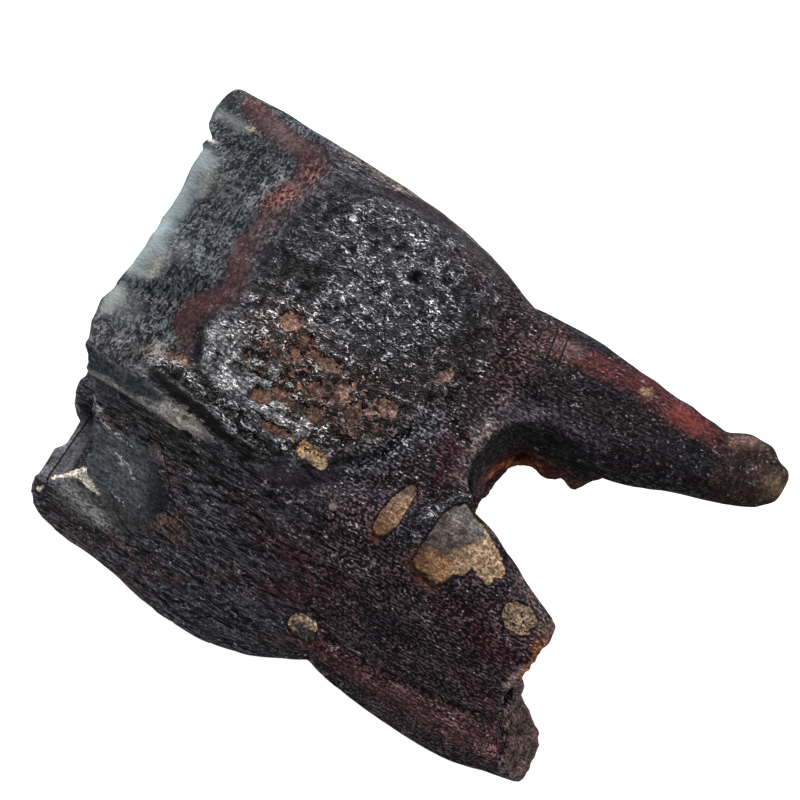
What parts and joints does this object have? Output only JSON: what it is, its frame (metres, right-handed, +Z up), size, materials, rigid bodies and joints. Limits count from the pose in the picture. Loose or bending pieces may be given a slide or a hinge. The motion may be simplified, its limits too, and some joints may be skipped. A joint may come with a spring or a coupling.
{
  "type": "fossil woolly rhinoceros upper cheek tooth",
  "caption": "Fossil rhinoceros cheek tooth lying on its tongue side: dark worn crown, rough cement on the cheek face, two long roots with a gap between them, one broken open.",
  "frame": {"origin": "bottom centre of the tooth's box, on the ground it rests on", "axes": "+X from the worn chewing surface towards the root tips, +Y from the distal side to the mesial side, +Z up, from the tongue side that it rests on to the cheek side"},
  "size_m": [0.093, 0.0554, 0.0552],
  "materials": {
    "fossil_tooth": "semi-gloss mineralised enamel, cement and dentine, black to red-brown with tan windows"
  },
  "bodies": {
    "root": {"tooth": "fossil_tooth"}
  },
  "joints": []
}
